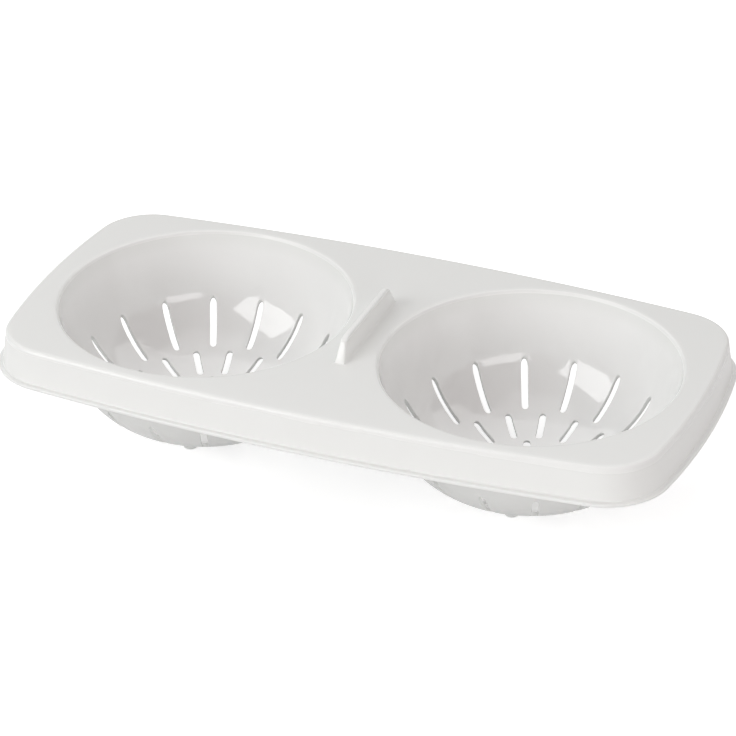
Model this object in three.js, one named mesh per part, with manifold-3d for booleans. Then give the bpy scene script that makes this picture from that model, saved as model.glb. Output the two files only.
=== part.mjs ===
// Two-cup slotted egg-poaching tray, moulded in white polypropylene.
// Its four forms meet face to face: the skirted deck, two slotted bowls under it and a lift rib on top.
// Millimetres, +Z up. The origin is on the table, midway between the bowls.

import * as THREE from "three";
import { mergeVertices } from "three/addons/utils/BufferGeometryUtils.js";
import loadManifold from "manifold-3d";

// The moulding
const wall = 1.2; // deck, skirt and bowls alike

// The bowls
const mouthRadius = 42; // where the wall's slope would meet the top of the deck
const mouthRound = 1; // rounding from the deck into the bowl
const wallDraft = 12; // degrees that the wall leans from the vertical
const bowlDepth = 36; // inside, from the top of the deck to the middle of the dish
const knuckleRadius = 25; // inside curve between the wall and the dish
const dishRadius = 77; // inside curve of the dish

// The drain slots, in three rows from the wall inward
const slotWidth = 1.9;
const slotCount = 16; // in the wall row and in the dish row, which is turned half a pitch
const wallSlotTop = 19.2; // depth below the top of the deck where the wall slots begin
const wallSlotRun = 10.2; // length of a wall slot seen from above
const dishSlotGap = 1.25; // from the wall slots' inner ends to the dish slots' outer ends
const dishSlotRun = 8.65;
const centreSlotGap = 1.25; // from the dish slots' inner ends to the centre slots' outer ends
const centreSlotRun = 4.35;
const slotEndLean = 32; // degrees that a slot's outer end opens towards the underside

// The feet, one between every other pair of centre slots
const footCount = 4; // under each bowl
const footRootDiameter = 4.6;
const footTipDiameter = 4;
const footRound = 0.5;
const footClearance = 3.4; // from the table to the underside of the dish

// The deck, its skirt and its lip
const bridgeWidth = 14; // between the two mouths
const endLand = 7.5; // beyond a mouth, at the crown of the end
const skirtGap = 2.1; // between a bowl and the skirt, where they come closest
const endBow = 4.4; // how far an end bows out past its corners
const sideBow = 5.4; // the same for a long side
const cornerRadius = 16.4;
const edgeRound = 1; // rounding of the deck's outer edge
const skirtDepth = 10.9; // from the top of the deck to the bottom of the lip
const skirtFlare = 1.4; // outward lean of the skirt over its height
const lipReach = 1.2; // beyond the skirt
const lipThickness = 1.1;

// The lift rib
const ribLength = 37.6; // at its foot
const ribHeight = 6.5;
const ribFootWidth = 2.8;
const ribTopWidth = 1.6; // also the diameter of its round top
const ribEndLean = 3.2; // inward lean of each end over the height
const ribCornerRound = 2;

// Facets
const turnSegments = 48; // round a bowl, a multiple of the slot count
const knuckleSteps = 6;
const dishSteps = 4;
const roundSteps = 4;
const sideSteps = 14;
const endSteps = 8;
const cornerSteps = 8;
const slotEndSteps = 2;
const footSegments = 16;
const cutMargin = 1; // how far a cutter runs past what it cuts

// Places that follow from the sizes, with the top of the deck at height 0
const bowlOffset = mouthRadius + bridgeWidth / 2;
const deckUnderside = -wall;
const tableLevel = -(bowlDepth + wall + footClearance);
const draft = THREE.MathUtils.degToRad(wallDraft);

const wasm = await loadManifold();
wasm.setup();

// A closed three.js geometry as a solid that can be cut and joined
function solidOf(geometry) {
  const bare = geometry.index ? geometry.toNonIndexed() : geometry.clone();
  bare.deleteAttribute("normal");
  bare.deleteAttribute("uv");
  const merged = mergeVertices(bare);
  const corners = merged.index.array;
  const kept = [];
  for (let i = 0; i < corners.length; i += 3) {
    const [a, b, c] = corners.slice(i, i + 3);
    if (a !== b && b !== c && c !== a) kept.push(a, b, c);
  }
  const vertProperties = new Float32Array(merged.attributes.position.array);
  const triVerts = new Uint32Array(kept);
  return new wasm.Manifold(new wasm.Mesh({ numProp: 3, vertProperties, triVerts }));
}

function meshOf(name, solid) {
  const { vertProperties, triVerts } = solid.getMesh();
  const geometry = new THREE.BufferGeometry();
  geometry.setAttribute("position", new THREE.BufferAttribute(vertProperties, 3));
  geometry.setIndex(new THREE.BufferAttribute(triVerts, 1));
  geometry.computeVertexNormals();
  const material = new THREE.MeshStandardMaterial({
    color: 0xf1f1ee,
    roughness: 0.35,
    metalness: 0,
    flatShading: true,
  });
  const mesh = new THREE.Mesh(geometry, material);
  mesh.name = name;
  return mesh;
}

function arcPoints(centreX, centreY, radius, from, to, steps) {
  const clockwise = to < from;
  return new THREE.EllipseCurve(centreX, centreY, radius, radius, from, to, clockwise).getPoints(steps);
}

// A solid of revolution about Z from a profile of (radius, height) points
function revolve(profile, segments) {
  return solidOf(new THREE.LatheGeometry(profile, segments).rotateX(Math.PI / 2));
}

function point(x, y) {
  return new THREE.Vector2(x, y);
}

// Radius of the bowl's sloping wall at a height, with the outer face one wall further out
function slopeRadius(height, thickness) {
  return mouthRadius + height * Math.tan(draft) + thickness / Math.cos(draft);
}

// The knuckle touches the sloping wall and runs smoothly into the dish, whose centre is on the bowl's axis
const dishCentre = dishRadius - bowlDepth;

function findKnuckle() {
  const reach = dishRadius - knuckleRadius;
  const lean = Math.tan(draft);
  const start = mouthRadius - knuckleRadius / Math.cos(draft);
  const square = 1 + lean * lean;
  const half = start * lean - dishCentre;
  const rest = start * start + dishCentre * dishCentre - reach * reach;
  const height = (-half - Math.sqrt(half * half - square * rest)) / square;
  return point(start + lean * height, height);
}

const knuckle = findKnuckle();

// Inside radius at a depth above the dish
function insideRadius(depth) {
  const slopeEnd = -knuckle.y + knuckleRadius * Math.sin(draft);
  if (depth <= slopeEnd) return slopeRadius(-depth, 0);
  return knuckle.x + Math.sqrt(knuckleRadius ** 2 - (knuckle.y + depth) ** 2);
}

// Inside height at a radius within the knuckle or the dish
function insideHeight(radius) {
  const dishEnd = (knuckle.x * dishRadius) / (dishRadius - knuckleRadius);
  if (radius <= dishEnd) return dishCentre - Math.sqrt(dishRadius ** 2 - radius ** 2);
  return knuckle.y - Math.sqrt(knuckleRadius ** 2 - (radius - knuckle.x) ** 2);
}

// The solid inside one face of the bowl, from its axis out to the face and up to a level top
function bowlBody(thickness, top) {
  const towardKnuckle = Math.atan2(knuckle.y - dishCentre, knuckle.x);
  const straightDown = -Math.PI / 2;
  const dish = arcPoints(0, dishCentre, dishRadius + thickness, straightDown, towardKnuckle, dishSteps);
  const bend = knuckleRadius + thickness;
  const curve = arcPoints(knuckle.x, knuckle.y, bend, towardKnuckle, -draft, knuckleSteps);
  dish[0].x = 0;
  const rim = point(slopeRadius(top, thickness), top);
  return revolve([...dish, ...curve.slice(1), rim, point(0, top)], turnSegments);
}

// A slot seen from above, round at both ends
function slotOutline(outer, inner) {
  const half = slotWidth / 2;
  const shape = new THREE.Shape();
  shape.absarc(outer - half, 0, half, -Math.PI / 2, Math.PI / 2);
  shape.absarc(inner + half, 0, half, Math.PI / 2, (3 * Math.PI) / 2);
  return shape.getPoints(slotEndSteps);
}

// The slots are cut straight down, as the mould draws, and only their outer ends lean
function slotCutter(outer, run) {
  const lean = Math.tan(THREE.MathUtils.degToRad(slotEndLean));
  const start = insideHeight(outer);
  const corners = [start + cutMargin, tableLevel].flatMap((height) => {
    const end = outer + (start - height) * lean;
    return slotOutline(end, outer - run).map((place) => [place.x, place.y, height]);
  });
  return wasm.Manifold.hull(corners);
}

const pitch = 360 / slotCount;
const wallSlotOuter = insideRadius(wallSlotTop);
const dishSlotOuter = wallSlotOuter - wallSlotRun - dishSlotGap;
const centreSlotOuter = dishSlotOuter - dishSlotRun - centreSlotGap;
const slotRows = [
  { outer: wallSlotOuter, run: wallSlotRun, count: slotCount, start: 0 },
  { outer: dishSlotOuter, run: dishSlotRun, count: slotCount, start: pitch / 2 },
  { outer: centreSlotOuter, run: centreSlotRun, count: slotCount / 2, start: pitch },
];

function cutSlots(bowl) {
  let cut = bowl;
  for (const { outer, run, count, start } of slotRows) {
    const cutter = slotCutter(outer, run);
    for (let i = 0; i < count; i++) {
      cut = cut.subtract(cutter.rotate([0, 0, start + (i * 360) / count]));
    }
  }
  return cut;
}

// A foot is a tapered peg with a rounded tip, long enough to run up into the hollow of the bowl
function footPeg() {
  const tip = footTipDiameter / 2;
  const tipCurve = arcPoints(tip - footRound, tableLevel + footRound, footRound, -Math.PI / 2, 0, roundSteps);
  const root = point(footRootDiameter / 2, -bowlDepth);
  const top = -bowlDepth / 2;
  return revolve([point(0, tableLevel), ...tipCurve, root, point(root.x, top), point(0, top)], footSegments);
}

function makeBowl() {
  const peg = footPeg();
  const footCircle = centreSlotOuter - centreSlotRun / 2;
  let body = bowlBody(wall, deckUnderside);
  for (let i = 0; i < footCount; i++) {
    body = body.add(peg.translate([footCircle, 0, 0]).rotate([0, 0, (i * 360) / footCount]));
  }
  return cutSlots(body.subtract(bowlBody(0, cutMargin)));
}

// The deck's outline: four bowed sides and four corner arcs that touch them
const halfLength = bowlOffset + mouthRadius + endLand;
const cornerX = halfLength - endBow;
const crownDrop = sideBow * (bowlOffset / cornerX) ** 2;
const halfDepth = mouthRadius + 2 * wall + skirtGap + crownDrop;
const cornerY = halfDepth - sideBow;
const sideRadius = (cornerX ** 2 + sideBow ** 2) / (2 * sideBow);
const endRadius = (cornerY ** 2 + endBow ** 2) / (2 * endBow);
const sideCentre = halfDepth - sideRadius;
const endCentre = halfLength - endRadius;

// Where a corner arc's centre lies, from its distances to the centres of the two sides that it touches
function findCornerCentre() {
  const fromSide = sideRadius - cornerRadius;
  const fromEnd = endRadius - cornerRadius;
  const apart = Math.hypot(endCentre, sideCentre);
  const along = (fromSide ** 2 - fromEnd ** 2 + apart ** 2) / (2 * apart);
  const across = Math.sqrt(fromSide ** 2 - along ** 2);
  const axis = point(endCentre, -sideCentre).divideScalar(apart);
  const outward = point(axis.y, -axis.x);
  return point(0, sideCentre).addScaledVector(axis, along).addScaledVector(outward, across);
}

const corner = findCornerCentre();

// One ring of the outline, moved outward by an offset
function outline(offset) {
  const endTurn = Math.atan2(corner.y, corner.x - endCentre);
  const sideTurn = Math.atan2(corner.y - sideCentre, corner.x);
  const bend = cornerRadius + offset;
  const end = endRadius + offset;
  const side = sideRadius + offset;
  const half = Math.PI;
  const arcs = [
    arcPoints(endCentre, 0, end, -endTurn, endTurn, endSteps),
    arcPoints(corner.x, corner.y, bend, endTurn, sideTurn, cornerSteps),
    arcPoints(0, sideCentre, side, sideTurn, half - sideTurn, sideSteps),
    arcPoints(-corner.x, corner.y, bend, half - sideTurn, half - endTurn, cornerSteps),
    arcPoints(-endCentre, 0, end, half - endTurn, half + endTurn, endSteps),
    arcPoints(-corner.x, -corner.y, bend, half + endTurn, half + sideTurn, cornerSteps),
    arcPoints(0, -sideCentre, side, half + sideTurn, 2 * half - sideTurn, sideSteps),
    arcPoints(corner.x, -corner.y, bend, 2 * half - sideTurn, 2 * half - endTurn, cornerSteps),
  ];
  return arcs.flatMap((arc) => arc.slice(0, -1));
}

// A closed skin through rings of the outline, from a section of (offset, height) points, lowest first
function loft(section) {
  const rings = section.map((place) => outline(place.x));
  const count = rings[0].length;
  const positions = section.flatMap((place, i) => rings[i].flatMap((p) => [p.x, p.y, place.y]));
  const faces = [];
  for (let ring = 0; ring + 1 < rings.length; ring++) {
    for (let i = 0; i < count; i++) {
      const a = ring * count + i;
      const b = ring * count + ((i + 1) % count);
      faces.push(a, b, b + count, a, b + count, a + count);
    }
  }
  const top = (rings.length - 1) * count;
  for (const [a, b, c] of THREE.ShapeUtils.triangulateShape(rings[0], [])) {
    faces.push(a, c, b, top + a, top + b, top + c);
  }
  const geometry = new THREE.BufferGeometry();
  geometry.setAttribute("position", new THREE.Float32BufferAttribute(positions, 3));
  geometry.setIndex(faces);
  return solidOf(geometry);
}

// What a mouth takes out of the deck: the slope of the bowl's wall, flaring over the rounding
function mouthCutter() {
  const low = deckUnderside - cutMargin;
  const roundCentre = mouthRadius + (mouthRound * (1 - Math.sin(draft))) / Math.cos(draft);
  const flare = arcPoints(roundCentre, -mouthRound, mouthRound, Math.PI - draft, Math.PI / 2, roundSteps);
  const profile = [
    point(0, low),
    point(slopeRadius(low, 0), low),
    ...flare,
    point(roundCentre, cutMargin),
    point(0, cutMargin),
  ];
  return revolve(profile, turnSegments);
}

function makeDeck() {
  const lipBottom = -skirtDepth;
  const lipTop = lipBottom + lipThickness;
  const skirtOffset = (height) => (skirtFlare * (-height - edgeRound)) / (skirtDepth - edgeRound);
  const edge = arcPoints(-edgeRound, -edgeRound, edgeRound, 0, Math.PI / 2, roundSteps);
  const outside = [
    point(skirtFlare + lipReach, lipBottom),
    point(skirtFlare + lipReach, lipTop),
    point(skirtOffset(lipTop), lipTop),
    ...edge,
  ];
  const below = lipBottom - cutMargin;
  const inside = [below, deckUnderside].map((height) => point(skirtOffset(height) - wall, height));
  const mouth = mouthCutter();
  return loft(outside)
    .subtract(loft(inside))
    .subtract(mouth.translate([-bowlOffset, 0, 0]))
    .subtract(mouth.translate([bowlOffset, 0, 0]));
}

// The rib is the part that its cross-section and its side view have in common
function makeRib() {
  const foot = ribFootWidth / 2;
  const top = ribTopWidth / 2;
  const section = new THREE.Shape();
  section.moveTo(-foot, 0);
  section.lineTo(foot, 0);
  section.absarc(0, ribHeight - top, top, 0, Math.PI);

  const footEnd = ribLength / 2;
  const topEnd = footEnd - ribEndLean;
  const cornerEnd = topEnd + (ribEndLean * ribCornerRound) / ribHeight;
  const side = new THREE.Shape();
  side.moveTo(-footEnd, 0);
  side.lineTo(footEnd, 0);
  side.lineTo(cornerEnd, ribHeight - ribCornerRound);
  side.quadraticCurveTo(topEnd, ribHeight, topEnd - ribCornerRound, ribHeight);
  side.lineTo(ribCornerRound - topEnd, ribHeight);
  side.quadraticCurveTo(-topEnd, ribHeight, -cornerEnd, ribHeight - ribCornerRound);

  const settings = { bevelEnabled: false, curveSegments: roundSteps };
  const bar = new THREE.ExtrudeGeometry(section, { ...settings, depth: ribLength });
  bar.rotateX(Math.PI / 2).translate(0, ribLength / 2, 0);
  const plate = new THREE.ExtrudeGeometry(side, { ...settings, depth: ribFootWidth });
  const alongY = new THREE.Vector3(0, 1, 0);
  const alongZ = new THREE.Vector3(0, 0, 1);
  const alongX = new THREE.Vector3(1, 0, 0);
  plate.applyMatrix4(new THREE.Matrix4().makeBasis(alongY, alongZ, alongX)).translate(-foot, 0, 0);
  return solidOf(bar).intersect(solidOf(plate));
}

const bowl = makeBowl();
const leftBowl = meshOf("left_bowl", bowl);
leftBowl.position.x = -bowlOffset;
const rightBowl = meshOf("right_bowl", bowl);
rightBowl.position.x = bowlOffset;

const tray = new THREE.Group();
tray.name = "poaching_tray";
tray.position.z = -tableLevel;
tray.add(meshOf("tray_deck", makeDeck()), leftBowl, rightBowl, meshOf("lift_rib", makeRib()));

export default tray;
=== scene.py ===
import math

import bmesh
import bpy
from mathutils import Matrix, Quaternion, Vector


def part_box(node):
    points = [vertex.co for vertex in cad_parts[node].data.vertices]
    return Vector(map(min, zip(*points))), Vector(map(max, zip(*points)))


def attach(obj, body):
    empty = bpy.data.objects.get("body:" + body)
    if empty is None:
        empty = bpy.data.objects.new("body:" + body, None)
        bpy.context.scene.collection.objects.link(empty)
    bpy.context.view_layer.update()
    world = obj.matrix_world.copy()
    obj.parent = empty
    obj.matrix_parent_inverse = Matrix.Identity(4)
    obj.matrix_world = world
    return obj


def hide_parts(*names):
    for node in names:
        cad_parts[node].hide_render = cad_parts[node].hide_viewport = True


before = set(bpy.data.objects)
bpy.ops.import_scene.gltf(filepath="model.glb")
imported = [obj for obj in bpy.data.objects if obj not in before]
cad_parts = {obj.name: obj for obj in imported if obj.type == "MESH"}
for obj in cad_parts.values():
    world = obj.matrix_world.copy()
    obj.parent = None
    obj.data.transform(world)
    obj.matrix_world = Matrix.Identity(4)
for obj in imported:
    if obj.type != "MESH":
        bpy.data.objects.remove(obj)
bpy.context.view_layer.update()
print("frame:", sorted(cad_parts))

mm = 0.001
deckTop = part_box("tray_deck")[1].z  # the flat top of the deck, above the table
leftBowlX = (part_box("left_bowl")[0].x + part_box("left_bowl")[1].x) / 2
rightBowlX = (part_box("right_bowl")[0].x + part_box("right_bowl")[1].x) / 2
wall = 1.2  # mm, the same all over the moulding
micrometre = 0.000001
nearly = 0.01  # mm, counts as the same height
levelNormal = 0.9  # a face that points at least this far up or down is level
smoothAngle = 38  # degrees, an edge that turns more stays sharp


def startPiece():
    if bpy.context.object and bpy.context.object.mode != "OBJECT":
        bpy.ops.object.mode_set(mode="OBJECT")
    bpy.ops.object.select_all(action="DESELECT")


def openMesh(piece):
    bpy.ops.object.mode_set(mode="EDIT")
    return bmesh.from_edit_mesh(piece.data)


def pickFaces(piece, test):
    mesh = bmesh.from_edit_mesh(piece.data)
    bpy.ops.mesh.select_all(action="DESELECT")
    for face in mesh.faces:
        face.select_set(test(face))
    bmesh.update_edit_mesh(piece.data)


def pickEdges(piece, test):
    mesh = bmesh.from_edit_mesh(piece.data)
    bpy.ops.mesh.select_mode(type="EDGE")
    bpy.ops.mesh.select_all(action="DESELECT")
    for edge in mesh.edges:
        edge.select_set(test(edge))
    bmesh.update_edit_mesh(piece.data)


def closePiece(piece, name):
    bpy.ops.mesh.select_mode(type="VERT")
    bpy.ops.mesh.select_all(action="SELECT")
    bpy.ops.mesh.normals_make_consistent(inside=False)
    bpy.ops.object.mode_set(mode="OBJECT")
    bpy.ops.object.shade_smooth_by_angle(angle=math.radians(smoothAngle))
    piece.name = name
    piece.data.name = name
    print(name, "faces:", len(piece.data.polygons))


def lay(x, y, z):  # a point in mm, its height from the top of the deck
    return Vector((x * mm, y * mm, deckTop + z * mm))


# the bowl: one eighth of a slotted sheet, turned round and given its thickness
bowlShape = {
    "mouthRadius": 42.0,
    "wallDraft": 12.0,  # degrees
    "depth": 36.0,
    "knuckleRadius": 25.0,  # where the wall bends into the dish
    "dishRadius": 77.0,
    "slotWidth": 1.9,
    "slotCount": 16,
    "wallSlotTop": 19.2,  # depth
    "wallSlotRun": 10.2,
    "dishSlotGap": 1.25,
    "dishSlotRun": 8.65,
    "centreSlotGap": 1.25,
    "centreSlotRun": 4.35,
    "slotEndLean": 32.0,  # degrees, the outer ends open towards the underside
    "slotGuard": 0.35,  # loop that holds the round of a slot's rim
    "guardRise": 0.6,
    "slotRound": 0.16,
    "slotRoundSteps": 2,
    "neckFillet": 0.8,  # where the outside runs into the deck
    "neckLoops": (0, 0.25, 0.55, 0.9, 1.4),  # down the neck, from the deck's underside
    "wallLoops": (5.2, 8.5, 11.8, 14.4),  # depths
    "slotLoops": {"wall": 10, "dish": 8, "centre": 4},  # across each row of slots
    "middleLoops": (9.4, 6.6, 3.8, 1.4, 0.0),  # radii
    "columnHold": 0.5,  # inside the centre slots, where the columns stop closing up
    "columnDraw": 0.5,  # share of its width that a dish column keeps there
    "mergeGap": 0.004,
    "sliver": 0.0005,  # what is thinner is dissolved
    "footRoot": 2.3,
    "footTip": 2.0,
    "footRound": 0.5,
    "footFillet": 0.6,
    "footFilletTurn": 68.0,  # degrees of the fillet that stand clear of the dish
    "footSink": 0.35,  # into the thickness of the dish
    "footSides": 32,
    "footSteps": 4,  # in each rounding
    "footCount": 4,
}
draft = math.radians(bowlShape["wallDraft"])
dishCentre = bowlShape["dishRadius"] - bowlShape["depth"]


def findKnuckle():  # centre of the bend that touches both the wall and the dish
    reach = bowlShape["dishRadius"] - bowlShape["knuckleRadius"]
    lean = math.tan(draft)
    start = bowlShape["mouthRadius"] - bowlShape["knuckleRadius"] / math.cos(draft)
    square = 1 + lean * lean
    half = start * lean - dishCentre
    rest = start * start + dishCentre * dishCentre - reach * reach
    height = (-half - math.sqrt(half * half - square * rest)) / square
    return start + lean * height, height


knuckleX, knuckleZ = findKnuckle()


def coneRadius(z, skin):  # of the sloping wall at a height
    return bowlShape["mouthRadius"] + z * math.tan(draft) + skin / math.cos(draft)


def bowlHeight(radius, skin):  # height of the inside, skin 0, or the outside, skin wall
    bend = bowlShape["knuckleRadius"] + skin
    dish = bowlShape["dishRadius"] + skin
    dishEnd = dish * knuckleX / math.hypot(knuckleX, knuckleZ - dishCentre)
    if radius <= dishEnd:
        return dishCentre - math.sqrt(dish * dish - radius * radius)
    if radius <= knuckleX + bend * math.cos(draft):
        return knuckleZ - math.sqrt(max(bend * bend - (radius - knuckleX) ** 2, 0))
    return (radius - coneRadius(0, skin)) / math.tan(draft)


def insideRadius(depth):  # of the wall or the knuckle
    slopeEnd = -knuckleZ + bowlShape["knuckleRadius"] * math.sin(draft)
    if depth <= slopeEnd:
        return coneRadius(-depth, 0)
    return knuckleX + math.sqrt(bowlShape["knuckleRadius"] ** 2 - (knuckleZ + depth) ** 2)


halfSlot = bowlShape["slotWidth"] / 2
guardHalf = halfSlot + bowlShape["slotGuard"]
pitch = 2 * math.pi / bowlShape["slotCount"]
wallOuter = insideRadius(bowlShape["wallSlotTop"])
wallInner = wallOuter - bowlShape["wallSlotRun"]
dishOuter = wallInner - bowlShape["dishSlotGap"]
dishInner = dishOuter - bowlShape["dishSlotRun"]
centreOuter = dishInner - bowlShape["centreSlotGap"]
centreInner = centreOuter - bowlShape["centreSlotRun"]
footCircle = (centreOuter + centreInner) / 2

# columns from the middle of a wall slot to the middle of the next dish slot;
# a slot's round end is followed in steps of 30 degrees
slotSteps = [0.0, halfSlot * 0.5, halfSlot * math.sqrt(0.75), halfSlot, guardHalf]
halfColumns = [("wall", step) for step in slotSteps]
halfColumns += [("land", 1 / 3), ("land", 2 / 3)]
halfColumns += [("dish", step) for step in reversed(slotSteps)]
halfCount = len(halfColumns) - 1
pitchCells = 2 * halfCount
slotCells = 3  # columns from a slot's middle to its side


def halfAngle(column, radius):  # the columns keep a slot's width the same at every radius
    kind, step = halfColumns[column]
    held = max(radius, centreInner - bowlShape["columnHold"])
    ease = min(max((held - centreInner) / (dishInner - centreInner), 0), 1)
    dishShare = bowlShape["columnDraw"] + (1 - bowlShape["columnDraw"]) * ease
    wallAngle = math.asin((step if kind == "wall" else guardHalf) / held)
    dishAngle = pitch / 2 - math.asin((step if kind == "dish" else guardHalf) * dishShare / held)
    if kind == "wall":
        return wallAngle
    if kind == "dish":
        return dishAngle
    return wallAngle + (dishAngle - wallAngle) * step


def columnAngle(column, radius):
    turn, place = divmod(column, pitchCells)
    if place <= halfCount:
        return turn * pitch + halfAngle(place, radius)
    return (turn + 1) * pitch - halfAngle(pitchCells - place, radius)


def levelRing(radius):
    return [radius] * len(halfColumns)


def slotEndRing(kind, end, way):  # the rim at a slot's round end, way 1 outward or -1 inward
    middle = end - way * halfSlot
    ring = []
    for column, step in halfColumns:
        swell = math.sqrt(max(halfSlot ** 2 - step ** 2, 0)) if column == kind else 0
        ring.append(middle + way * swell)
    return ring


def slotGuardRing(kind, end, way):  # the loop just outside that rim
    middle = end - way * halfSlot
    ring = []
    for column, step in halfColumns:
        near = column == kind and step <= halfSlot
        swell = math.sqrt(guardHalf ** 2 - step ** 2) if near else bowlShape["guardRise"]
        ring.append(middle + way * swell)
    return ring


def between(first, last, count):  # rings spaced evenly between two others
    rings = []
    for i in range(1, count + 1):
        share = i / (count + 1)
        rings.append([a + (b - a) * share for a, b in zip(first, last)])
    return rings


def leanReach(radius):  # from a slot's end inside to its end on the underside
    lean = math.tan(math.radians(bowlShape["slotEndLean"]))
    start = bowlHeight(radius, 0)
    low, high = 0.0, 2 * wall
    halvings = 40
    for i in range(halvings):
        middle = (low + high) / 2
        if start - middle / lean > bowlHeight(radius + middle, wall):
            low = middle
        else:
            high = middle
    return low


# rings from the neck under the deck down to the middle of the dish
neckDepths = [wall + step for step in bowlShape["neckLoops"]] + list(bowlShape["wallLoops"])
neckRings = [levelRing(coneRadius(-depth, 0)) for depth in neckDepths]
wallGuard = slotGuardRing("wall", wallOuter, 1)
bowlRings = neckRings + between(neckRings[-1], wallGuard, 1) + [wallGuard]
wallReach = leanReach(wallOuter)
# how far each ring moves out on the underside
ringReach = [0] * len(neckRings) + [wallReach / 2, wallReach]
slotSpans = []  # the first and last ring of each row of slots
for kind, outer, inner in (
    ("wall", wallOuter, wallInner),
    ("dish", dishOuter, dishInner),
    ("centre", centreOuter, centreInner),
):
    count = bowlShape["slotLoops"][kind]
    column = "dish" if kind == "dish" else "wall"
    top = slotEndRing(column, outer, 1)
    bottom = slotEndRing(column, inner, -1)
    reach = leanReach(outer)
    if kind != "wall":
        bowlRings.append(slotGuardRing(column, outer, 1))
        ringReach.append(reach)
    first = len(bowlRings)
    bowlRings += [top] + between(top, bottom, count) + [bottom]
    ringReach += [reach * (1 - i / (count + 1)) for i in range(count + 2)]
    slotSpans.append((kind, first, len(bowlRings) - 1))
    bowlRings.append(slotGuardRing(column, inner, -1))
    ringReach.append(0)
bowlRings += [levelRing(radius) for radius in bowlShape["middleLoops"]]
ringReach += [0] * len(bowlShape["middleLoops"])


def isSlotCell(column, row):  # cells of the sheet that are left open
    place = column % pitchCells
    besideWall = place < slotCells or place >= pitchCells - slotCells
    besideDish = halfCount - slotCells <= place < halfCount + slotCells
    turn = (column + pitchCells // 2) // pitchCells  # which wall slot is nearest
    for kind, first, last in slotSpans:
        if first <= row < last:
            if kind == "wall":
                return besideWall
            if kind == "dish":
                return besideDish
            return besideWall and turn % 2 == 1  # a centre slot under every other wall slot
    return False


def outsidePlace(radius, row):  # the neck has a fillet under the deck, then the slope
    if row >= len(neckRings):
        return radius + ringReach[row], bowlHeight(radius + ringReach[row], wall)
    depth = (bowlShape["mouthRadius"] - radius) / math.tan(draft)
    fillet = bowlShape["neckFillet"]
    filletEnd = wall + bowlShape["neckLoops"][-1]
    if depth <= filletEnd:
        sweep = (depth - wall) / (filletEnd - wall) * (math.pi / 2 - draft)
        centreZ = -wall - fillet
        centreX = coneRadius(centreZ, wall) + fillet * (1 + math.sin(draft)) / math.cos(draft)
        turn = math.pi / 2 + sweep
        return centreX + fillet * math.cos(turn), centreZ + fillet * math.sin(turn)
    share = (depth - filletEnd) / (neckDepths[-1] - filletEnd)
    topZ = -wall - fillet * (1 + math.sin(draft))
    lowZ = bowlHeight(coneRadius(-neckDepths[-1], 0), wall)
    z = topZ + (lowZ - topZ) * share
    bend = bowlShape["knuckleRadius"] + wall
    if z < knuckleZ - bend * math.sin(draft):
        return knuckleX + math.sqrt(bend * bend - (z - knuckleZ) ** 2), z
    return coneRadius(z, wall), z


def footSection():  # (radius, rise from the tip, drop from the dish), with the rise or the drop
    tip, bend = bowlShape["footTip"], bowlShape["footRound"]
    root, fillet = bowlShape["footRoot"], bowlShape["footFillet"]
    steps = bowlShape["footSteps"]
    rings = []
    for i in range(1, steps + 1):
        turn = math.pi / 2 * i / steps
        rings.append((tip - bend * (1 - math.sin(turn)), bend * (1 - math.cos(turn)), None))
    for i in range(steps + 1):
        turn = math.radians(bowlShape["footFilletTurn"]) * i / steps
        rings.append((root + fillet * (1 - math.cos(turn)), None, fillet * (1 - math.sin(turn))))
    rings.append((root + fillet, None, -bowlShape["footSink"]))
    return rings


def makeFoot(x, y, middle):
    startPiece()
    tip = -deckTop / mm
    flat = bowlShape["footTip"] - bowlShape["footRound"]
    bpy.ops.mesh.primitive_circle_add(
        vertices=bowlShape["footSides"], radius=flat * mm,
        fill_type="NGON", location=lay(x, y, tip))
    foot = bpy.context.object
    bpy.ops.object.transform_apply(location=True, rotation=True, scale=True)
    openMesh(foot)
    bpy.ops.mesh.select_all(action="SELECT")
    halfSide = math.pi / bowlShape["footSides"]
    bpy.ops.transform.rotate(value=halfSide, orient_axis="Z", center_override=lay(x, y, tip))
    for radius, rise, drop in footSection():
        bpy.ops.mesh.extrude_region()
        mesh = bmesh.from_edit_mesh(foot.data)
        for vert in mesh.verts:
            if vert.select:
                out = Vector((vert.co.x / mm - x, vert.co.y / mm - y)).normalized() * radius
                spot = Vector((x, y)) + out
                dish = bowlHeight(math.hypot(spot.x - middle, spot.y), wall)
                vert.co = lay(spot.x, spot.y, tip + rise if drop is None else dish - drop)
        bmesh.update_edit_mesh(foot.data)
    bpy.ops.mesh.select_all(action="SELECT")
    bpy.ops.mesh.normals_make_consistent(inside=False)
    bpy.ops.object.mode_set(mode="OBJECT")
    return foot


def makeFeet(centreX):
    middle = centreX / mm
    feet = []
    for i in range(bowlShape["footCount"]):
        angle = 2 * math.pi * i / bowlShape["footCount"]
        x, y = footCircle * math.cos(angle), footCircle * math.sin(angle)
        feet.append(makeFoot(middle + x, y, middle))
    startPiece()
    for foot in feet:
        foot.select_set(True)
    bpy.context.view_layer.objects.active = feet[0]
    bpy.ops.object.join()
    return bpy.context.object


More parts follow.
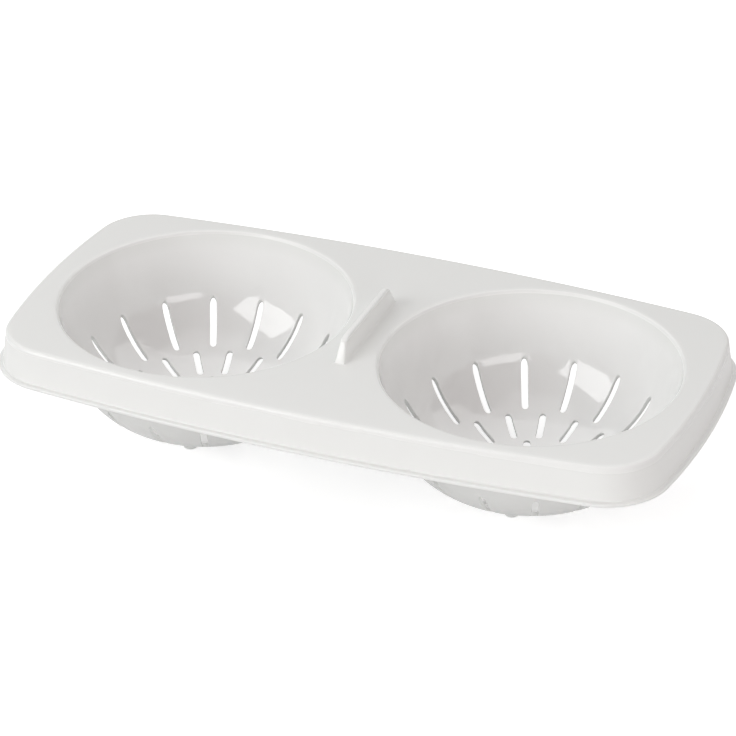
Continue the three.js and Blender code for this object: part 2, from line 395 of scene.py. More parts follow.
def makeBowl(name, centreX):
    startPiece()
    # a flat grid from -1 to 1, one column and one ring to each of its lines
    columns = 2 * pitchCells
    rows = len(bowlRings) - 1
    bpy.ops.mesh.primitive_grid_add(x_subdivisions=columns, y_subdivisions=rows, size=2)
    bowl = bpy.context.object
    mesh = openMesh(bowl)
    ringRow = mesh.verts.layers.int.new("ringRow")
    grid = {}
    for vert in mesh.verts:
        column = round((vert.co.x + 1) / 2 * columns)
        row = rows - round((vert.co.y + 1) / 2 * rows)
        grid[vert] = (column, row)
        vert[ringRow] = row
    slotFaces = []
    for face in mesh.faces:
        corner = (min(grid[v][0] for v in face.verts), min(grid[v][1] for v in face.verts))
        if isSlotCell(*corner):
            slotFaces.append(face)
    # wrapped onto the inside of the bowl
    middle = centreX / mm
    for vert, (column, row) in grid.items():
        place = column % pitchCells
        radius = bowlRings[row][place if place <= halfCount else pitchCells - place]
        angle = columnAngle(column, radius)
        x, y = radius * math.cos(angle), radius * math.sin(angle)
        vert.co = lay(middle + x, y, bowlHeight(radius, 0))
    # the slots opened, and the sheet turned round
    bpy.ops.mesh.select_all(action="DESELECT")
    bpy.ops.mesh.select_mode(type="FACE")
    for face in slotFaces:
        face.select_set(True)
    bmesh.update_edit_mesh(bowl.data)
    bpy.ops.mesh.delete(type="FACE")
    bpy.ops.mesh.select_all(action="SELECT")
    copies = bowlShape["slotCount"] // 2 - 1
    bpy.ops.mesh.spin(
        steps=copies, dupli=True, angle=2 * pitch * copies, center=(centreX, 0, 0), axis=(0, 0, 1))
    bpy.ops.mesh.select_all(action="SELECT")
    bpy.ops.mesh.remove_doubles(threshold=bowlShape["mergeGap"] * mm)
    bpy.ops.mesh.normals_make_consistent(inside=True)
    # its copy moved out to the underside
    bpy.ops.mesh.select_all(action="SELECT")
    bpy.ops.mesh.extrude_region()
    mesh = bmesh.from_edit_mesh(bowl.data)
    ringRow = mesh.verts.layers.int["ringRow"]
    outside = {vert for vert in mesh.verts if vert.select}
    for vert in outside:
        radius = math.hypot(vert.co.x - centreX, vert.co.y) / mm
        wide, z = outsidePlace(radius, vert[ringRow])
        share = wide / radius if radius > 0 else 1
        vert.co = lay(middle + (vert.co.x / mm - middle) * share, vert.co.y / mm * share, z)
    # the rims of the slots rounded
    slotWalls = [f for f in mesh.faces if 0 < sum(v in outside for v in f.verts) < len(f.verts)]
    rims = set()
    neckLevel = deckTop - (wall + nearly) * mm
    for face in slotWalls:
        for edge in face.edges:
            a, b = edge.verts
            if (a in outside) == (b in outside) and a.co.z < neckLevel:
                rims.add(edge)
    pickEdges(bowl, lambda edge: edge in rims)
    bpy.ops.mesh.bevel(
        offset=bowlShape["slotRound"] * mm, segments=bowlShape["slotRoundSteps"],
        affect="EDGES", clamp_overlap=True)
    bpy.ops.object.mode_set(mode="OBJECT")
    bowl.data.attributes.remove(bowl.data.attributes["ringRow"])
    # the feet joined on
    feet = makeFeet(centreX)
    startPiece()
    bowl.select_set(True)
    bpy.context.view_layer.objects.active = bowl
    join = bowl.modifiers.new("feet", "BOOLEAN")
    join.operation = "UNION"
    join.solver = "EXACT"
    join.object = feet
    bpy.ops.object.modifier_apply(modifier=join.name)
    bpy.data.objects.remove(feet)
    openMesh(bowl)
    bpy.ops.mesh.select_all(action="SELECT")
    bpy.ops.mesh.dissolve_degenerate(threshold=bowlShape["sliver"] * mm)
    closePiece(bowl, name)
    return bowl


def copyBowl(bowl, name, shift):
    startPiece()
    bowl.select_set(True)
    bpy.context.view_layer.objects.active = bowl
    bpy.ops.object.duplicate(linked=False)
    copy = bpy.context.object
    copy.name = name
    copy.data.name = name
    openMesh(copy)
    bpy.ops.mesh.select_all(action="SELECT")
    bpy.ops.transform.translate(value=(shift, 0, 0))
    bpy.ops.object.mode_set(mode="OBJECT")
    print(name, "faces:", len(copy.data.polygons))
    return copy


leftBowl = makeBowl("leftBowl", leftBowlX)
rightBowl = copyBowl(leftBowl, "rightBowl", rightBowlX - leftBowlX)

# the deck: rings of its outline drawn over the edge, down the skirt, round the lip and back under
deckShape = {
    "bridgeWidth": 14.0,
    "endLand": 7.5,
    "skirtGap": 2.1,
    "endBow": 4.4,  # how far the ends and the sides swell
    "sideBow": 5.4,
    "cornerRadius": 16.4,
    "edgeRound": 1.0,
    "skirtDepth": 10.9,
    "skirtFlare": 1.4,
    "lipReach": 1.2,
    "lipThickness": 1.1,
    "lipRound": 0.35,
    "lipFillet": 0.3,
    "innerFillet": 0.7,  # under the deck, inside the skirt
    "mouthRound": 1.0,
    "flatBand": 0.8,  # ring of the flat top beside each rounding
    "endSteps": 24,
    "cornerSteps": 16,
    "sideSteps": 40,
    "roundSteps": 6,
    "skirtLoops": 3,
    "innerLoops": 2,
    "mergeGap": 0.001,
}
halfLength = bowlShape["mouthRadius"] * 2 + deckShape["bridgeWidth"] / 2 + deckShape["endLand"]
cornerX = halfLength - deckShape["endBow"]
bowlOffset = bowlShape["mouthRadius"] + deckShape["bridgeWidth"] / 2
crownDrop = deckShape["sideBow"] * (bowlOffset / cornerX) ** 2
halfDepth = bowlShape["mouthRadius"] + 2 * wall + deckShape["skirtGap"] + crownDrop
cornerY = halfDepth - deckShape["sideBow"]
sideRadius = (cornerX ** 2 + deckShape["sideBow"] ** 2) / (2 * deckShape["sideBow"])
endRadius = (cornerY ** 2 + deckShape["endBow"] ** 2) / (2 * deckShape["endBow"])
sideCentre = halfDepth - sideRadius
endCentre = halfLength - endRadius


def findCorner():  # centre of the arc that joins a side to an end
    fromSide = sideRadius - deckShape["cornerRadius"]
    fromEnd = endRadius - deckShape["cornerRadius"]
    apart = math.hypot(endCentre, sideCentre)
    along = (fromSide ** 2 - fromEnd ** 2 + apart ** 2) / (2 * apart)
    across = math.sqrt(fromSide ** 2 - along ** 2)
    axis = Vector((endCentre, -sideCentre)) / apart
    outward = Vector((axis.y, -axis.x))
    return Vector((0, sideCentre)) + axis * along + outward * across


corner = findCorner()


def arc(x, y, radius, start, stop, steps):
    points = []
    for i in range(steps):
        turn = start + (stop - start) * i / steps
        points.append((x + radius * math.cos(turn), y + radius * math.sin(turn)))
    return points


def deckOutline(offset):
    endTurn = math.atan2(corner.y, corner.x - endCentre)
    sideTurn = math.atan2(corner.y - sideCentre, corner.x)
    bend = deckShape["cornerRadius"] + offset
    end = endRadius + offset
    side = sideRadius + offset
    ends, corners, sides = deckShape["endSteps"], deckShape["cornerSteps"], deckShape["sideSteps"]
    half = math.pi
    points = arc(endCentre, 0, end, -endTurn, endTurn, ends)
    points += arc(corner.x, corner.y, bend, endTurn, sideTurn, corners)
    points += arc(0, sideCentre, side, sideTurn, half - sideTurn, sides)
    points += arc(-corner.x, corner.y, bend, half - sideTurn, half - endTurn, corners)
    points += arc(-endCentre, 0, end, half - endTurn, half + endTurn, ends)
    points += arc(-corner.x, -corner.y, bend, half + endTurn, half + sideTurn, corners)
    points += arc(0, -sideCentre, side, half + sideTurn, 2 * half - sideTurn, sides)
    points += arc(corner.x, -corner.y, bend, 2 * half - sideTurn, 2 * half - endTurn, corners)
    return points


def roundCorner(x, z, radius, start, stop):
    steps = deckShape["roundSteps"]
    points = []
    for i in range(steps + 1):
        turn = math.radians(start + (stop - start) * i / steps)
        points.append((x + radius * math.cos(turn), z + radius * math.sin(turn)))
    return points


def skirtOffset(z):  # how far the flared skirt stands out at a height
    edge = deckShape["edgeRound"]
    return deckShape["skirtFlare"] * (-z - edge) / (deckShape["skirtDepth"] - edge)


def deckSection():  # (offset from the outline, height) from the top, over the edge and back under
    edge = deckShape["edgeRound"]
    low = -deckShape["skirtDepth"]
    lipTop = low + deckShape["lipThickness"]
    reach = deckShape["skirtFlare"] + deckShape["lipReach"]
    lipRound = deckShape["lipRound"]
    fillet = deckShape["lipFillet"]
    inner = deckShape["innerFillet"]
    section = [(-edge - deckShape["flatBand"], 0)]
    section += roundCorner(-edge, -edge, edge, 90, 0)
    loops = deckShape["skirtLoops"]
    for i in range(1, loops + 1):
        z = -edge + (lipTop + fillet + edge) * i / (loops + 1)
        section.append((skirtOffset(z), z))
    section += roundCorner(skirtOffset(lipTop + fillet) + fillet, lipTop + fillet, fillet, 180, 270)
    section += roundCorner(reach - lipRound, lipTop - lipRound, lipRound, 90, 0)
    section += roundCorner(reach - lipRound, low + lipRound, lipRound, 0, -90)
    section += roundCorner(skirtOffset(low) - wall + lipRound, low + lipRound, lipRound, 270, 180)
    loops = deckShape["innerLoops"]
    for i in range(1, loops + 1):
        z = low + lipRound + (-wall - inner - low - lipRound) * i / (loops + 1)
        section.append((skirtOffset(z) - wall, z))
    section += roundCorner(skirtOffset(-wall - inner) - wall - inner, -wall - inner, inner, 0, 90)
    section.append((skirtOffset(-wall - inner) - wall - inner - deckShape["flatBand"], -wall))
    return section


def mouthSection():  # (radius, height) from the flat top down into the mouth
    bend = deckShape["mouthRound"]
    centre = bowlShape["mouthRadius"] + bend * (1 - math.sin(draft)) / math.cos(draft)
    section = [(centre + deckShape["flatBand"], 0)]
    section += roundCorner(centre, -bend, bend, 90, 180 - bowlShape["wallDraft"])
    section.append((coneRadius(-wall, 0), -wall))
    return section


# the mouth has a point at each column of the bowl
mouthCount = pitchCells * bowlShape["slotCount"]
mouthTurns = [columnAngle(i, coneRadius(-wall, 0)) for i in range(mouthCount)]


def mouthRing(radius, centreX):
    middle = centreX / mm
    return [(middle + radius * math.cos(turn), radius * math.sin(turn)) for turn in mouthTurns]


def drawRings(piece, rings, centreX):  # each ring is pulled from the last, both sorted by angle
    mesh = bmesh.from_edit_mesh(piece.data)
    for i, (points, z) in enumerate(rings):
        if i:
            bpy.ops.mesh.extrude_region()
            mesh = bmesh.from_edit_mesh(piece.data)
        moved = [vert for vert in mesh.verts if vert.select]
        moved.sort(key=lambda vert: math.atan2(vert.co.y, vert.co.x - centreX))
        placed = sorted(points, key=lambda p: math.atan2(p[1], p[0] - centreX / mm))
        for vert, (x, y) in zip(moved, placed):
            vert.co = lay(x, y, z)
        bmesh.update_edit_mesh(piece.data)


def openAt(height):  # test for the open edges at one height
    return lambda edge: edge.is_boundary and all(
        abs(vert.co.z - height) < nearly * mm for vert in edge.verts)


def makeDeck():
    startPiece()
    outlineCount = len(deckOutline(0))
    bpy.ops.mesh.primitive_circle_add(
        vertices=outlineCount, radius=halfDepth * mm, fill_type="NOTHING")
    deck = bpy.context.object
    openMesh(deck)
    bpy.ops.mesh.select_all(action="SELECT")
    drawRings(deck, [(deckOutline(offset), z) for offset, z in deckSection()], 0)
    for centreX in (leftBowlX, rightBowlX):
        bpy.ops.mesh.select_all(action="DESELECT")
        bpy.ops.mesh.primitive_circle_add(
            vertices=len(mouthTurns), radius=bowlShape["mouthRadius"] * mm,
            fill_type="NOTHING", location=(centreX, 0, 0))
        drawRings(deck, [(mouthRing(radius, centreX), z) for radius, z in mouthSection()], centreX)
    for level in (0, -wall):  # the flat top and the flat underside
        pickEdges(deck, openAt(lay(0, 0, level).z))
        bpy.ops.mesh.fill(use_beauty=True)
    bpy.ops.mesh.select_all(action="SELECT")
    bpy.ops.mesh.remove_doubles(threshold=deckShape["mergeGap"] * mm)
    closePiece(deck, "trayDeck")
    return deck


trayDeck = makeDeck()

# the rib: a tapered block with a rounded top and a small fillet at its foot
ribShape = {
    "length": 37.6,
    "height": 6.5,
    "footWidth": 2.8,
    "topWidth": 1.6,
    "endLean": 3.2,
    "cornerRound": 2.0,
    "cornerSteps": 8,
    "topRound": 0.42,
    "topSteps": 5,
    "tallEdge": 1.0,  # an edge that falls more is one of the upright corners
    "footFillet": 0.6,
    "filletSteps": 5,
    "rubBand": 1.1,  # handled strip below the top
}


def makeRib():
    startPiece()
    length, height = ribShape["length"], ribShape["height"]
    fillet = ribShape["footFillet"]
    bpy.ops.mesh.primitive_cube_add(size=mm, location=lay(0, 0, height / 2))
    rib = bpy.context.object
    rib.scale = (ribShape["footWidth"], length, height)
    bpy.ops.object.transform_apply(location=True, rotation=True, scale=True)
    openMesh(rib)
    pickFaces(rib, lambda face: face.normal.z > levelNormal)
    topLength = length - 2 * ribShape["endLean"]
    bpy.ops.transform.resize(
        value=(ribShape["topWidth"] / ribShape["footWidth"], topLength / length, 1),
        center_override=lay(0, 0, height))
    high = lay(0, 0, height).z
    low = lay(0, 0, 0).z
    slack = nearly * mm

    def isTopEnd(edge):
        a, b = (v.co for v in edge.verts)
        return a.z > high - slack and b.z > high - slack and abs(a.y - b.y) < slack

    pickEdges(rib, isTopEnd)
    bpy.ops.mesh.bevel(
        offset=ribShape["cornerRound"] * mm, segments=ribShape["cornerSteps"], affect="EDGES")

    def isLongEdge(edge):
        a, b = (v.co for v in edge.verts)
        alongTop = min(a.z, b.z) > low + slack and a.x * b.x > 0
        return alongTop or abs(a.z - b.z) > ribShape["tallEdge"] * mm

    pickEdges(rib, isLongEdge)
    bpy.ops.mesh.bevel(
        offset=ribShape["topRound"] * mm, segments=ribShape["topSteps"],
        affect="EDGES", clamp_overlap=True)
    bpy.ops.mesh.select_all(action="SELECT")
    bpy.ops.mesh.bisect(plane_co=lay(0, 0, height - ribShape["rubBand"]), plane_no=(0, 0, 1))
    # the open foot lifted, then drawn out and down round the fillet
    pickFaces(rib, lambda face: face.normal.z < -levelNormal)
    bpy.ops.mesh.delete(type="ONLY_FACE")
    pickEdges(rib, lambda edge: edge.is_boundary)
    bpy.ops.transform.translate(value=(0, 0, fillet * mm))
    width, steps = ribShape["footWidth"], ribShape["filletSteps"]
    lastReach = lastDrop = 0
    for i in range(1, steps + 1):
        turn = math.pi / 2 * i / steps
        reach = fillet * (1 - math.cos(turn))
        drop = fillet * math.sin(turn)
        bpy.ops.mesh.extrude_region()
        wide = (width + 2 * reach) / (width + 2 * lastReach)
        litInside = (length + 2 * reach) / (length + 2 * lastReach)
        bpy.ops.transform.resize(value=(wide, litInside, 1), center_override=lay(0, 0, 0))
        bpy.ops.transform.translate(value=(0, 0, (lastDrop - drop) * mm))
        lastReach, lastDrop = reach, drop
    bpy.ops.mesh.edge_face_add()
    closePiece(rib, "liftRib")
    return rib


liftRib = makeRib()

# one white plastic, satin on the deck and polished inside the bowls; the bowls are painted a
# lighter colour inside, and their outside takes the deck's darker colour as painted shade on the
# undersides
plasticLook = {
    "deckColour": (0.843, 0.857, 0.840, 1),
    "deckDrift": (0.831, 0.844, 0.826, 1),  # where the melt flowed last
    # the lighter colour painted inside the bowls; against it the deck's colour on the bowls'
    # outside is painted shade
    "litInsideColour": (0.896, 0.904, 0.895, 1),
    "litInsideDrift": (0.884, 0.891, 0.881, 1),
    "rubbedColour": (0.859, 0.871, 0.857, 1),  # edges that hands and other trays touch
    "specular": 1.0,
    "ior": 1.5,
    "deckRoughness": (0.15, 0.25),
    "bowlRoughness": (0.035, 0.07),
    "hazeRoughness": 0.012,  # added by the grain
    "rubRoughness": 0.025,  # added on the rub marks
    "edgeScuff": 0.15,  # added along the rubbed edges
    "edgeStart": 0.45,  # where the rub mark of an edge begins to show
    "wornShare": (0.3, 0.9),  # of the rubbed colour, following the drift
    "driftScale": 16.0,  # per metre
    "rubPatch": 42.0,
    "deckGrain": 1300.0,
    "bowlGrain": 900.0,
    "deckGrainHeight": 3.0,  # micrometres
    "bowlGrainHeight": 0.8,
    "ripple": 110.0,
    "deckRippleHeight": 14.0,
    "bowlRippleHeight": 26.0,
    "polishAndLightStart": 1.2,  # mm below the deck, on the inside only
    "polishAndLightFull": 5.5,
    "rubMargin": 0.1,  # mm that a handled edge reaches past its form
    "edgeRubStart": 0.05,  # below the flat top
    "footRub": 0.6,  # up from the table
}
# ranges and shares inside the shared patterns
pattern = {
    "grainRange": (0.3, 0.7),
    "slowShare": 0.7,
    "quickShare": 0.3,
    "quickScale": 7.0,  # times the slow one
    "driftRange": (0.34, 0.66),
    "strokeTurns": (24, -47),  # degrees
    "strokeTilt": (0.3, 0.2),  # radians
    "strokeStretch": (90, 2400, 90),
    "strokeRange": (0.66, 0.76),
    "patchRange": (0.5, 0.68),
}


def addNode(tree, kind, **settings):
    node = tree.nodes.new("ShaderNode" + kind)
    for key, value in settings.items():
        setattr(node, key, value)
    return node


# a number is set on the socket and a socket is linked to it; n2 is the input at place 2
def feed(tree, node, **values):
    for key, value in values.items():
        numbered = key[0] == "n" and key[1:].isdigit()
        socket = node.inputs[int(key[1:]) if numbered else key.replace("_", " ")]
        if isinstance(value, bpy.types.NodeSocket):
            tree.links.new(value, socket)
        else:
            socket.default_value = value


def combine(tree, operation, first, second):
    node = addNode(tree, "Math", operation=operation)
    feed(tree, node, n0=first, n1=second)
    return node.outputs[0]


def spread(tree, value, low, high, newLow, newHigh):
    node = addNode(tree, "MapRange")
    feed(tree, node, Value=value, From_Min=low, From_Max=high, To_Min=newLow, To_Max=newHigh)
    return node.outputs["Result"]


def newGroup(name, inputs, outputs):
    tree = bpy.data.node_groups.new(name, "ShaderNodeTree")
    for title, kind in inputs:
        tree.interface.new_socket(name=title, in_out="INPUT", socket_type="NodeSocket" + kind)
    for title in outputs:
        tree.interface.new_socket(name=title, in_out="OUTPUT", socket_type="NodeSocketFloat")
    start = tree.nodes.new("NodeGroupInput")
    end = tree.nodes.new("NodeGroupOutput")
    return tree, start.outputs, end.inputs


def makeMouldSkin():  # fine grain and slow ripple of the moulded skin, height in micrometres
    tree, start, end = newGroup(
        "mouldSkin",
        [("Place", "Vector"), ("Grain", "Float"), ("Grain Height", "Float"),
         ("Ripple", "Float"), ("Ripple Height", "Float")],
        ["Height", "Haze"])
    grain = addNode(tree, "TexNoise")
    feed(tree, grain, Vector=start["Place"], Scale=start["Grain"], Detail=2.0, Roughness=0.55)
    ripple = addNode(tree, "TexNoise")
    feed(tree, ripple, Vector=start["Place"], Scale=start["Ripple"], Detail=1.0, Roughness=0.4)
    fine = combine(tree, "MULTIPLY", grain.outputs[0], start["Grain Height"])
    slow = combine(tree, "MULTIPLY", ripple.outputs[0], start["Ripple Height"])
    tree.links.new(combine(tree, "ADD", fine, slow), end["Height"])
    haze = spread(tree, grain.outputs[0], *pattern["grainRange"], 0.0, 1.0)
    tree.links.new(haze, end["Haze"])
    return tree


def makeFlowTone():  # slow drift of tone and gloss that the flowing melt leaves
    tree, start, end = newGroup("flowTone", [("Place", "Vector"), ("Scale", "Float")], ["Drift"])
    slow = addNode(tree, "TexNoise")
    feed(tree, slow, Vector=start["Place"], Scale=start["Scale"])
    feed(tree, slow, Detail=3.0, Roughness=0.5, Distortion=0.7)
    quick = addNode(tree, "TexNoise")
    quickScale = combine(tree, "MULTIPLY", start["Scale"], pattern["quickScale"])
    feed(tree, quick, Vector=start["Place"], Scale=quickScale, Detail=2.0, Roughness=0.5)
    mixed = combine(tree, "MULTIPLY_ADD", quick.outputs[0], pattern["quickShare"])
    slowPart = combine(tree, "MULTIPLY", slow.outputs[0], pattern["slowShare"])
    feed(tree, mixed.node, n2=slowPart)
    tree.links.new(spread(tree, mixed, *pattern["driftRange"], 0.0, 1.0), end["Drift"])
    return tree


def makeRubMarks():  # short fine scratches in loose patches
    tree, start, end = newGroup(
        "rubMarks", [("Place", "Vector"), ("Patch Scale", "Float")], ["Marks"])
    strokes = []
    for turn in pattern["strokeTurns"]:
        stretch = addNode(tree, "Mapping")
        feed(tree, stretch, Vector=start["Place"], Scale=pattern["strokeStretch"])
        feed(tree, stretch, Rotation=(*pattern["strokeTilt"], math.radians(turn)))
        stroke = addNode(tree, "TexNoise")
        feed(tree, stroke, Vector=stretch.outputs[0], Scale=1.0, Detail=1.0, Roughness=0.4)
        strokes.append(spread(tree, stroke.outputs[0], *pattern["strokeRange"], 0.0, 1.0))
    patch = addNode(tree, "TexNoise")
    feed(tree, patch, Vector=start["Place"], Scale=start["Patch Scale"], Detail=2.0, Roughness=0.5)
    near = spread(tree, patch.outputs[0], *pattern["patchRange"], 0.0, 1.0)
    marks = combine(tree, "MULTIPLY", combine(tree, "MAXIMUM", strokes[0], strokes[1]), near)
    tree.links.new(marks, end["Marks"])
    return tree


mouldSkin = makeMouldSkin()
flowTone = makeFlowTone()
rubMarks = makeRubMarks()


def placeGroup(tree, group, **values):
    node = addNode(tree, "Group", node_tree=group)
    feed(tree, node, **values)
    return node.outputs


def blendColour(tree, share, first, second):
    node = addNode(tree, "Mix", data_type="RGBA")
    feed(tree, node, n0=share, n6=first, n7=second)
    return node.outputs[2]


def makePlastic(name, finish):
    material = bpy.data.materials.new(name)
    material.use_nodes = True
    tree = material.node_tree
    shader = tree.nodes["Principled BSDF"]
    place = addNode(tree, "TexCoord").outputs["Object"]
    skin = placeGroup(
        tree, mouldSkin, Place=place,
        Grain=plasticLook[finish + "Grain"], Grain_Height=plasticLook[finish + "GrainHeight"],
        Ripple=plasticLook["ripple"], Ripple_Height=plasticLook[finish + "RippleHeight"])
    drift = placeGroup(tree, flowTone, Place=place, Scale=plasticLook["driftScale"])["Drift"]
    marks = placeGroup(tree, rubMarks, Place=place, Patch_Scale=plasticLook["rubPatch"])["Marks"]
    edge = addNode(tree, "Attribute", attribute_name="edgeRub").outputs["Fac"]
    edge = spread(tree, edge, plasticLook["edgeStart"], 1.0, 0.0, 1.0)
    colour = blendColour(tree, drift, plasticLook["deckColour"], plasticLook["deckDrift"])
    rough = spread(tree, drift, 0.0, 1.0, *plasticLook["deckRoughness"])
    if finish == "bowl":  # satin outside and at the mouth like the deck, polished inside; the step from the lighter inside colour to the deck's darker colour outside is painted shade
        polishAndLitInside = addNode(tree, "Attribute", attribute_name="polishAndLitInside").outputs["Fac"]
        litInside = blendColour(tree, drift, plasticLook["litInsideColour"], plasticLook["litInsideDrift"])
        # painted shade: the bowl's outside keeps the deck's darker colour, its inside gets the
        # lighter one
        colour = blendColour(tree, polishAndLitInside, colour, litInside)
        smooth = spread(tree, drift, 0.0, 1.0, *plasticLook["bowlRoughness"])
        both = addNode(tree, "Mix", data_type="FLOAT")
        feed(tree, both, n0=polishAndLitInside, n2=rough, n3=smooth)
        rough = both.outputs[0]
    wornShare = spread(tree, drift, 0.0, 1.0, *plasticLook["wornShare"])
    worn = combine(tree, "MULTIPLY", edge, wornShare)
    colour = blendColour(tree, worn, colour, plasticLook["rubbedColour"])
    rougher = ((marks, "rubRoughness"), (skin["Haze"], "hazeRoughness"), (edge, "edgeScuff"))
    for mask, added in rougher:
        rough = combine(tree, "ADD", rough, combine(tree, "MULTIPLY", mask, plasticLook[added]))
    bump = addNode(tree, "Bump")
    feed(tree, bump, Strength=1.0, Distance=micrometre, Height=skin["Height"])
    feed(tree, shader, Base_Color=colour, Roughness=rough, Normal=bump.outputs[0])
    feed(tree, shader, IOR=plasticLook["ior"], Specular_IOR_Level=plasticLook["specular"])
    return material


deckPlastic = makePlastic("deckPlastic", "deck")
bowlPlastic = makePlastic("bowlPlastic", "bowl")
print("plastic:", deckPlastic.name, bowlPlastic.name)


def markRubbedEdges(piece, test):  # 1 on the edges that get handled, 0 elsewhere
    rub = piece.data.attributes.new("edgeRub", "FLOAT", "POINT")
    for vert in piece.data.vertices:
        rub.data[vert.index].value = 1.0 if test((vert.co.z - deckTop) / mm) else 0.0


def deckRub(z):
    lipTop = -deckShape["skirtDepth"] + deckShape["lipThickness"]
    onEdge = plasticLook["edgeRubStart"] < -z < deckShape["edgeRound"]
    return onEdge or z < lipTop + plasticLook["rubMargin"]


def ribRub(z):
    return z > ribShape["height"] - ribShape["rubBand"] + plasticLook["rubMargin"]


def bowlRub(z):
    return z < -deckTop / mm + plasticLook["footRub"]


def markPolishAndLitInside(piece, centreX):  # 1 where the mould was polished and the lighter colour is painted, 0 on the outside, where the deck's darker colour is painted shade
    polishAndLitInside = piece.data.attributes.new("polishAndLitInside", "FLOAT", "POINT")
    start, full = plasticLook["polishAndLightStart"], plasticLook["polishAndLightFull"]
    for vert in piece.data.vertices:
        z = (vert.co.z - deckTop) / mm
        radius = math.hypot(vert.co.x - centreX, vert.co.y) / mm
        inside = z > bowlHeight(radius, wall / 2)
        share = min(max((-z - start) / (full - start), 0), 1)
        polishAndLitInside.data[vert.index].value = share if inside else 0.0


for piece, node, material, test in (
    (trayDeck, "tray_deck", deckPlastic, deckRub),
    (leftBowl, "left_bowl", bowlPlastic, bowlRub),
    (rightBowl, "right_bowl", bowlPlastic, bowlRub),
    (liftRib, "lift_rib", deckPlastic, ribRub),
):
    markRubbedEdges(piece, test)
    piece.data.materials.clear()
    piece.data.materials.append(material)
    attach(piece, "root")
    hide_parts(node)
markPolishAndLitInside(leftBowl, leftBowlX)
markPolishAndLitInside(rightBowl, rightBowlX)
print("pieces ride on root")

# the studio
studio = {
    "floorSize": 6.0,
    "floorColour": (0.66, 0.66, 0.66, 1),
    "floorGlow": 0.66,  # makes up the white of the background
    "worldColour": (0.51, 0.51, 0.51, 1),
    "darkColour": (0.345, 0.296, 0.292, 1),  # the unlit, warmer side of the room
    "darkAzimuth": 58,
    "darkElevation": 36,
    "darkSpread": (66, 40),  # degrees from that side, where the dark starts and is full
    "backdropRise": (16, 9),  # degrees up, where the backdrop ends and is full
    "backdropMirrored": 0.5,  # share of the backdrop's white that reflections show
}


def towards(azimuth, elevation):  # 0 degrees is the front, 90 the right-hand end
    turn, rise = math.radians(azimuth), math.radians(elevation)
    flat = math.cos(rise)
    return Vector((math.sin(turn) * flat, -math.cos(turn) * flat, math.sin(rise)))


def backdropRays(tree):  # how much of the white background each kind of ray sees
    rays = addNode(tree, "LightPath").outputs
    seen = combine(tree, "MAXIMUM", rays["Is Camera Ray"], rays["Is Transmission Ray"])
    mirrored = combine(tree, "MULTIPLY", rays["Is Glossy Ray"], studio["backdropMirrored"])
    return combine(tree, "MAXIMUM", seen, mirrored)


def makeFloor():
    startPiece()
    bpy.ops.mesh.primitive_plane_add(size=studio["floorSize"], location=(0, 0, 0))
    floor = bpy.context.object
    floor.name = "floor"
    paint = bpy.data.materials.new("floorPaint")
    paint.use_nodes = True
    tree = paint.node_tree
    tree.nodes.clear()
    matt = addNode(tree, "BsdfDiffuse")
    feed(tree, matt, Color=studio["floorColour"])
    glow = addNode(tree, "Emission")
    feed(tree, glow, Strength=combine(tree, "MULTIPLY", backdropRays(tree), studio["floorGlow"]))
    lit = addNode(tree, "AddShader")
    feed(tree, lit, n0=matt.outputs[0], n1=glow.outputs[0])
    below = addNode(tree, "NewGeometry").outputs["Backfacing"]
    clear = addNode(tree, "BsdfTransparent")
    sides = addNode(tree, "MixShader")  # seen through from below
    feed(tree, sides, n0=below, n1=lit.outputs[0], n2=clear.outputs[0])
    feed(tree, addNode(tree, "OutputMaterial"), Surface=sides.outputs[0])
    floor.data.materials.append(paint)


def makeAir():  # grey air with a dark side, and a white backdrop low down
    world = bpy.data.worlds.new("studioAir")
    bpy.context.scene.world = world
    world.use_nodes = True
    tree = world.node_tree
    tree.nodes.clear()
    place = addNode(tree, "TexCoord").outputs["Generated"]
    facing = addNode(tree, "VectorMath", operation="DOT_PRODUCT")
    feed(tree, facing, n0=place, n1=towards(studio["darkAzimuth"], studio["darkElevation"]))
    edge, full = (math.cos(math.radians(angle)) for angle in studio["darkSpread"])
    shade = addNode(tree, "MapRange", interpolation_type="SMOOTHSTEP")
    feed(tree, shade, Value=facing.outputs["Value"], From_Min=edge, From_Max=full)
    air = addNode(tree, "Background")
    tone = blendColour(tree, shade.outputs["Result"], studio["worldColour"], studio["darkColour"])
    feed(tree, air, Color=tone)
    height = addNode(tree, "SeparateXYZ")
    feed(tree, height, Vector=place)
    top, full = (math.sin(math.radians(angle)) for angle in studio["backdropRise"])
    low = spread(tree, height.outputs["Z"], top, full, 0.0, 1.0)
    white = addNode(tree, "Background")
    feed(tree, white, Color=(1, 1, 1, 1))
    choose = addNode(tree, "MixShader")
    share = combine(tree, "MULTIPLY", backdropRays(tree), low)
    feed(tree, choose, n0=share, n1=air.outputs[0], n2=white.outputs[0])
    feed(tree, addNode(tree, "OutputWorld"), Surface=choose.outputs[0])


makeFloor()
makeAir()
print("floor and air")

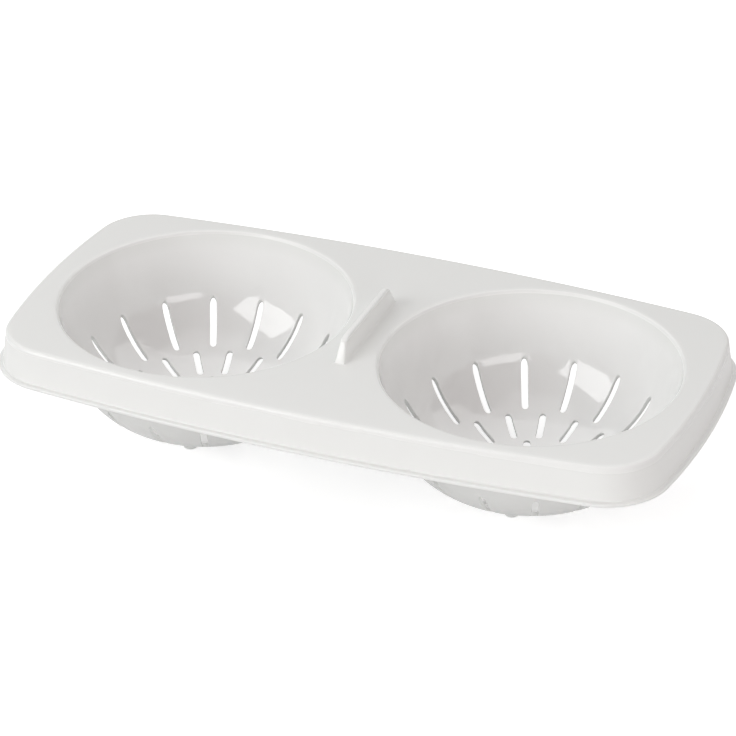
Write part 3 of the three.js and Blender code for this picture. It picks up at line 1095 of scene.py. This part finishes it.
lamps = {
    "keyBox": {
        "azimuth": -36.5, "elevation": 28, "roll": -14,
        "distance": 0.9, "size": (0.81, 0.585), "radiance": 2.48},
    "frontBar": {
        "azimuth": 46, "elevation": 10.5, "roll": 0,
        "distance": 0.6, "size": (0.425, 0.25), "radiance": 2.0},
    "frontCard": {
        "azimuth": 27, "elevation": 6, "roll": 0,
        "distance": 0.42, "size": (0.26, 0.08), "radiance": 1.0},
    "backPanel": {
        "azimuth": 182, "elevation": 55, "roll": 0,
        "distance": 1.2, "size": (2.4, 0.75), "radiance": 0.88},
    "rightCard": {
        "azimuth": 92, "elevation": 6, "roll": 0,
        "distance": 0.6, "size": (0.4, 0.11), "radiance": 0.5},
    "topBox": {
        "azimuth": 0, "elevation": 90, "roll": 0,
        "distance": 1.2, "size": (0.9, 0.9), "radiance": 0.45},
}


def addLamp(name, spec):
    back = towards(spec["azimuth"], spec["elevation"])
    light = bpy.data.lights.new(name, "AREA")
    light.shape = "RECTANGLE"
    light.size, light.size_y = spec["size"]
    light.energy = spec["radiance"] * math.pi * light.size * light.size_y
    lamp = bpy.data.objects.new(name, light)
    bpy.context.scene.collection.objects.link(lamp)
    lamp.location = Vector((0, 0, deckTop)) + back * spec["distance"]
    roll = Quaternion((0, 0, 1), math.radians(spec["roll"]))
    lamp.rotation_euler = ((-back).to_track_quat("-Z", "Y") @ roll).to_euler()
    lamp.visible_camera = False


for name, spec in lamps.items():
    addLamp(name, spec)
print("lamps:", len(lamps))

cameraPlace = {
    "azimuth": 22.75,
    "elevation": 30.4045,
    "roll": -0.6995,
    "across": 0.668,  # mm, the deck's middle seen from the camera
    "up": -10.004,
    "away": 956.62,
    "lens": 167.712,
    "sensor": 36,
}


def addCamera():
    roll = math.radians(cameraPlace["roll"])
    back = towards(cameraPlace["azimuth"], cameraPlace["elevation"])
    level = Vector((0, 0, 1)).cross(back).normalized()
    upright = back.cross(level)
    right = level * math.cos(roll) + upright * math.sin(roll)
    top = upright * math.cos(roll) - level * math.sin(roll)
    data = bpy.data.cameras.new("camera")
    data.lens = cameraPlace["lens"]
    data.sensor_width = cameraPlace["sensor"]
    camera = bpy.data.objects.new("camera", data)
    bpy.context.scene.collection.objects.link(camera)
    spot = right * cameraPlace["across"] + top * cameraPlace["up"] + back * cameraPlace["away"]
    turned = Matrix((right, top, back)).transposed().to_4x4()
    camera.matrix_world = Matrix.Translation(spot * mm + Vector((0, 0, deckTop))) @ turned
    bpy.context.scene.camera = camera


addCamera()
print("camera placed")
bpy.context.scene.view_settings.view_transform = "Standard"
